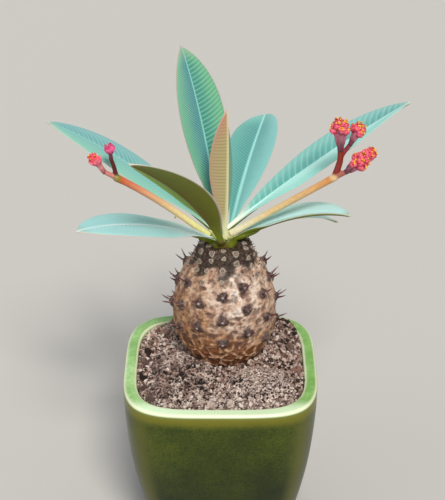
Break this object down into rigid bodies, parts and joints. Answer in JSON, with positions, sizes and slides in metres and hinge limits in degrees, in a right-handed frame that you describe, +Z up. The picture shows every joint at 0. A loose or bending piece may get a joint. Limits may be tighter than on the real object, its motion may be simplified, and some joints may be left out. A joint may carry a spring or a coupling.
{
  "type": "potted euphorbia pachypodioides",
  "caption": "Flowering caudex euphorbia with a spiny swollen stem and broad blue-green leaves, planted in volcanic grit in a square glazed pot.",
  "frame": {"origin": "centre of the pot's flat underside", "axes": "+X to the right of the picture, +Y away from the viewer, +Z up"},
  "size_m": [0.145, 0.1218, 0.2035],
  "materials": {
    "pot_glaze": "glossy olive green glaze, pale green where it breaks over the rim",
    "grit": "loose pinkish brown volcanic grit",
    "lava_stone": "porous pinkish grey lava",
    "stem_bark": "cracked tan bark with dark tubercles",
    "leaf_green": "waxy green leaf with fine cross veins",
    "leaf_pink": "pinkish tan leaf underside with a cream midrib",
    "leaf_blue_green": "waxy blue-green leaf with a pale midrib",
    "leaf_olive": "olive leaf underside with a purplish midrib",
    "flower_stalk": "smooth stalk, yellow at the base and orange-red at the fork",
    "flower": "pink-red flower bracts with yellow-orange anthers"
  },
  "bodies": {
    "root": {"pot": "pot_glaze", "soil": "grit", "lava_stone_left": "lava_stone", "lava_stone_right": "lava_stone", "caudex": "stem_bark", "leaf_back_left": "leaf_green", "leaf_young": "leaf_pink", "leaf_back_right": "leaf_blue_green", "leaf_right_long": "leaf_blue_green", "leaf_right_low": "leaf_blue_green", "leaf_right_behind": "leaf_blue_green", "leaf_left_low": "leaf_blue_green", "leaf_left_long": "leaf_blue_green", "leaf_front": "leaf_olive", "flower_stalk_left": "flower_stalk", "flower_stalk_right": "flower_stalk", "flower_head_left": "flower", "flower_bud_left": "flower", "flower_head_inner": "flower", "flower_head_middle": "flower", "flower_head_outer": "flower"}
  },
  "joints": []
}
